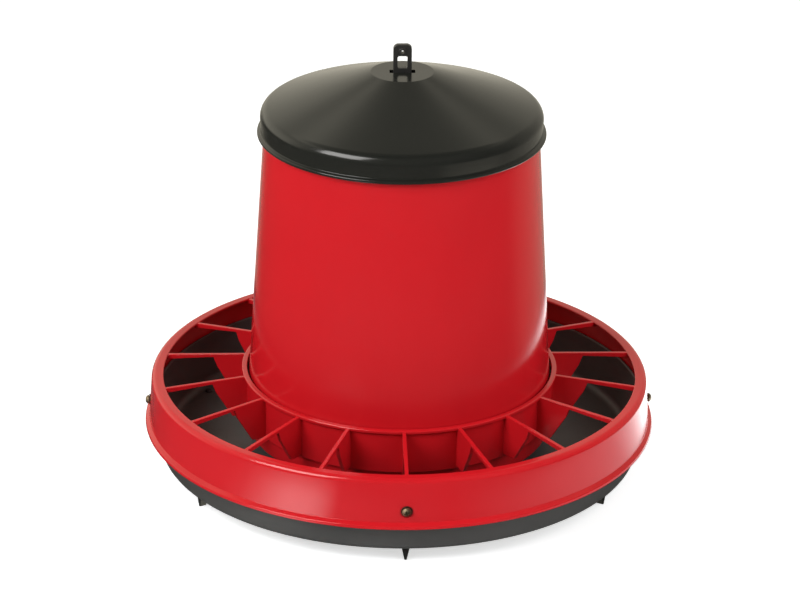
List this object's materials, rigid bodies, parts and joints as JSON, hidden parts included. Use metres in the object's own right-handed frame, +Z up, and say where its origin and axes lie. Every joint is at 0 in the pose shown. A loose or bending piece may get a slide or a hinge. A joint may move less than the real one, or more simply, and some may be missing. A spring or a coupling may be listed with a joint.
{
  "type": "poultry feeder",
  "caption": "Round gravity poultry feeder with a conical hopper, lift-off lid, feed pan, spoked anti-waste grille and a perforated strap for hanging.",
  "frame": {"origin": "on the floor, under the feeder's axis, level with the tips of the feet", "axes": "+Z up along the feeder's axis; -Y towards the front, where the height key's grip points; +X to the right seen from the front, along the bridge and the width of the strap"},
  "size_m": [0.422, 0.422, 0.363],
  "materials": {
    "red_plastic": "gloss",
    "black_plastic": "gloss",
    "pan_plastic": "satin",
    "zinc": "yellow zinc plate",
    "dark_steel": "dull"
  },
  "bodies": {
    "base": {"feed_pan": "pan_plastic", "foot_1": "black_plastic", "foot_2": "black_plastic", "foot_3": "black_plastic", "foot_4": "black_plastic", "foot_5": "black_plastic", "foot_6": "black_plastic", "anti_waste_grille": "red_plastic", "grille_screw_front": "zinc", "grille_washer_front": "dark_steel", "grille_nut_front": "zinc", "grille_screw_right": "zinc", "grille_washer_right": "dark_steel", "grille_nut_right": "zinc", "grille_screw_back": "zinc", "grille_washer_back": "dark_steel", "grille_nut_back": "zinc", "grille_screw_left": "zinc", "grille_washer_left": "dark_steel", "grille_nut_left": "zinc", "hanging_strap": "black_plastic", "strap_pin": "zinc"},
    "hopper": {"hopper": "red_plastic", "hopper_bridge": "black_plastic", "bridge_screw_left": "zinc", "bridge_screw_right": "zinc"},
    "lid": {"lid": "black_plastic"},
    "key": {"height_key": "red_plastic"}
  },
  "joints": [
    {"name": "hopper_lift", "type": "slide", "parent": "base", "child": "hopper", "axis": [0, 0, 1], "range_m": [0, 0.03]},
    {"name": "lid_lift", "type": "slide", "parent": "hopper", "child": "lid", "axis": [0, 0, 1], "range_m": [0, 0.09]},
    {"name": "key_pull", "type": "slide", "parent": "base", "child": "key", "axis": [0, -1, 0], "range_m": [0, 0.035]}
  ]
}
